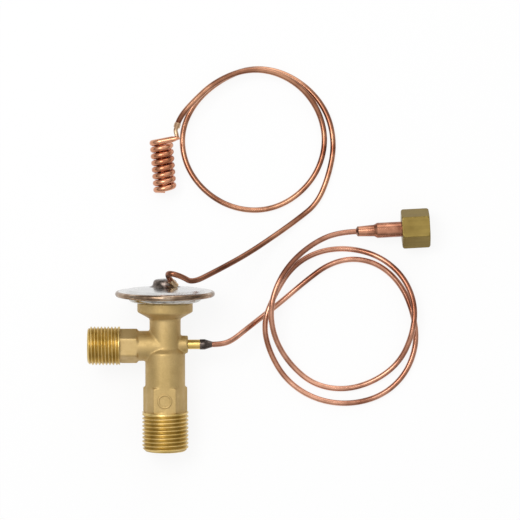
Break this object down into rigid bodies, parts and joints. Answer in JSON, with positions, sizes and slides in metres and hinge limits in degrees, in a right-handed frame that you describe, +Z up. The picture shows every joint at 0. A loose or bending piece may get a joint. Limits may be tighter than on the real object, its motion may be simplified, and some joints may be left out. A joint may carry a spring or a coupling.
{
  "type": "thermostatic expansion valve",
  "caption": "Right-angle expansion valve with a round diaphragm head, a coiled sensing tube on a thin copper line and a long equalizer line with a flare nut, lying at rest.",
  "frame": {"origin": "middle of the lying valve's box, on the table it lies on", "axes": "+Y from the outlet towards the diaphragm head, level; +X from the inlet towards the equalizer boss; +Z up"},
  "size_m": [0.1415, 0.1625, 0.0404],
  "materials": {
    "forged_brass": "satin",
    "turned_brass": "bright",
    "nut_brass": "matt",
    "stainless": "bright",
    "head_steel": "bright",
    "weld_bead": "heat tinted",
    "ferrule_steel": "dull",
    "braze": "dull",
    "copper": "satin copper",
    "seal_plastic": "matt"
  },
  "bodies": {
    "valve": {"valve_body": "forged_brass", "valve_seat": "stainless", "pin_seals": "seal_plastic", "superheat_spring": "stainless", "spring_adjuster": "turned_brass", "strainer_ring": "turned_brass", "strainer_screen": "stainless", "head_seal": "seal_plastic", "lower_case": "head_steel", "diaphragm": "stainless", "upper_cap": "head_steel", "rim_weld": "weld_bead", "capillary_boss": "ferrule_steel", "capillary_braze": "braze", "equalizer_stub": "turned_brass", "equalizer_braze": "braze", "sensing_coil": "copper", "capillary_sleeve": "braze", "sensing_capillary": "copper", "equalizer_tube": "copper", "equalizer_end_braze": "copper", "equalizer_reducer": "copper"},
    "valve_train": {"buffer_plate": "stainless", "push_pins": "stainless", "valve_ball": "stainless", "ball_carrier": "turned_brass"},
    "nut": {"equalizer_nut": "nut_brass"}
  },
  "joints": [
    {"name": "valve_stroke", "type": "slide", "parent": "valve", "child": "valve_train", "axis": [0, -0.9854, -0.1703], "range_m": [0, 0.0008], "stiffness_N_per_m": 9000, "deforming": ["superheat_spring", "diaphragm"]},
    {"name": "nut_spin", "type": "hinge", "parent": "valve", "child": "nut", "pos_m": [0.10927, 0.05773, 0.00714], "axis": [0.9986, 0.0523, 0], "continuous": true}
  ]
}
